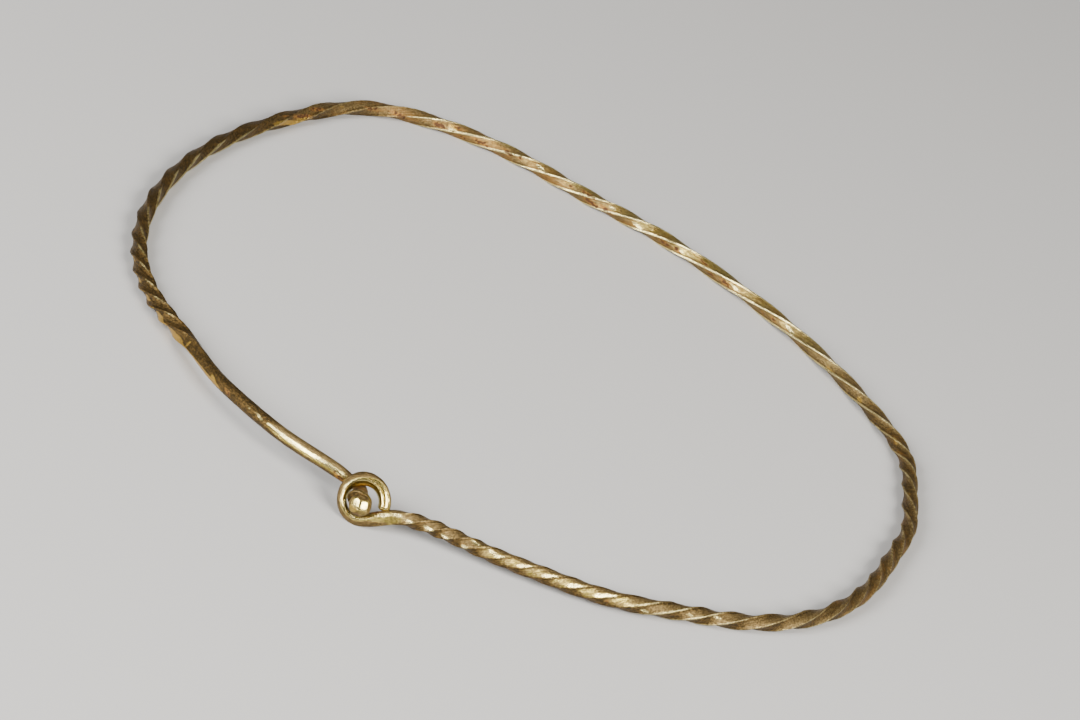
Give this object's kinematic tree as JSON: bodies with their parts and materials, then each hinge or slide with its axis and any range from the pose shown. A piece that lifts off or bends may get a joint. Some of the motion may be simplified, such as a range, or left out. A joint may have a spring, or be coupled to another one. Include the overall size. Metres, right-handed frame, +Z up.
{
  "type": "twisted gold torc",
  "caption": "Twisted gold neck ring: a square bar twisted and bent into a hoop, closed by a knobbed hook that passes through an eye.",
  "frame": {"origin": "middle of the torc's footprint, on the surface it lies on", "axes": "+Z up from that surface, +X the hoop's longest way across, with the eye and hook towards -Y and the plain shank on their -X side"},
  "size_m": [0.1618, 0.1598, 0.0085],
  "materials": {
    "gold": "old gold alloy: satin tan faces, worn bright ridges, polished shank and eye, brown deposits in the hollows"
  },
  "bodies": {
    "root": {"torc": "gold"}
  },
  "joints": []
}
